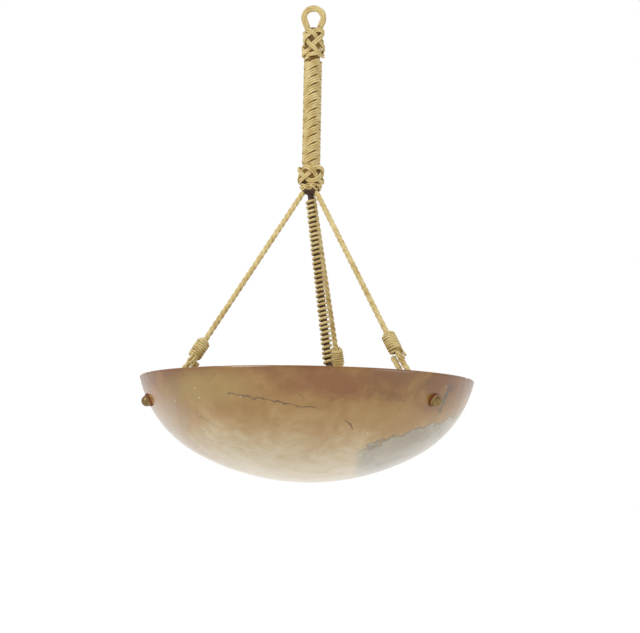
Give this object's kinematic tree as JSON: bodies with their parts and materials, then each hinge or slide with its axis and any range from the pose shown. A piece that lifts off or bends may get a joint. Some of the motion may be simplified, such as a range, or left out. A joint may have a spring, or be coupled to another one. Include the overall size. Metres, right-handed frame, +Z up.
{
  "type": "bowl pendant light",
  "caption": "Alabaster bowl pendant hung by three twisted cords from a braided drop with plaited knots, with a wrapped flex and lampholder inside the bowl.",
  "frame": {"origin": "point inside the rope eye, at its top, that bears on the ceiling hook", "axes": "+Z up, +X to the right of someone facing the lamp, +Y away from them"},
  "size_m": [0.3499, 0.35, 0.516],
  "materials": {
    "silk_cord": "smooth straw-gold artificial silk cord, satin",
    "flex_sheath": "dark brown cotton-covered rubber flex",
    "alabaster": "polished honey alabaster with grey and brown veins",
    "dark_bronze": "blackened bronze, polished domes",
    "fibre": "vulcanised fibre, matt",
    "lamp_brass": "spun brass, lightly aged",
    "porcelain": "white glazed porcelain",
    "bulb_metal": "rolled thin sheet",
    "opal_glass": "opal glass"
  },
  "bodies": {
    "hanger": {"hanging_loop": "silk_cord", "upper_collar_knot": "silk_cord"},
    "braid": {"main_braid": "silk_cord", "braid_flex": "flex_sheath", "lower_collar_knot": "silk_cord"},
    "bowl": {"alabaster_bowl": "alabaster", "rear_cord": "silk_cord", "rear_lashing": "silk_cord", "rear_eye_bolt": "dark_bronze", "rear_inside_washer": "fibre", "rear_outside_washer": "fibre", "rear_dome_nut": "dark_bronze", "left_cord": "silk_cord", "left_lashing": "silk_cord", "left_eye_bolt": "dark_bronze", "left_inside_washer": "fibre", "left_outside_washer": "fibre", "left_dome_nut": "dark_bronze", "front_cord": "silk_cord", "front_lashing": "silk_cord", "front_eye_bolt": "dark_bronze", "front_inside_washer": "fibre", "front_outside_washer": "fibre", "front_dome_nut": "dark_bronze"},
    "lamp": {"flex_drop": "flex_sheath", "flex_winding": "silk_cord", "cord_grip": "lamp_brass", "lampholder_cap": "lamp_brass", "lampholder_shell": "lamp_brass", "porcelain_insert": "porcelain", "thread_sleeve": "lamp_brass", "centre_contact": "lamp_brass", "bulb_cap": "bulb_metal", "bulb_glass": "opal_glass"}
  },
  "joints": [
    {"name": "braid_swing", "type": "hinge", "parent": "hanger", "child": "braid", "pos_m": [0, 0, -0.054], "axis": [1, 0, 0], "range_deg": [-8, 8]},
    {"name": "bowl_swing", "type": "hinge", "parent": "braid", "child": "bowl", "pos_m": [0, 0, -0.188], "axis": [0, 1, 0], "range_deg": [-8, 8]},
    {"name": "flex_swing", "type": "hinge", "parent": "braid", "child": "lamp", "pos_m": [0, 0, -0.2035], "axis": [0, 1, 0], "range_deg": [-5, 8]}
  ]
}
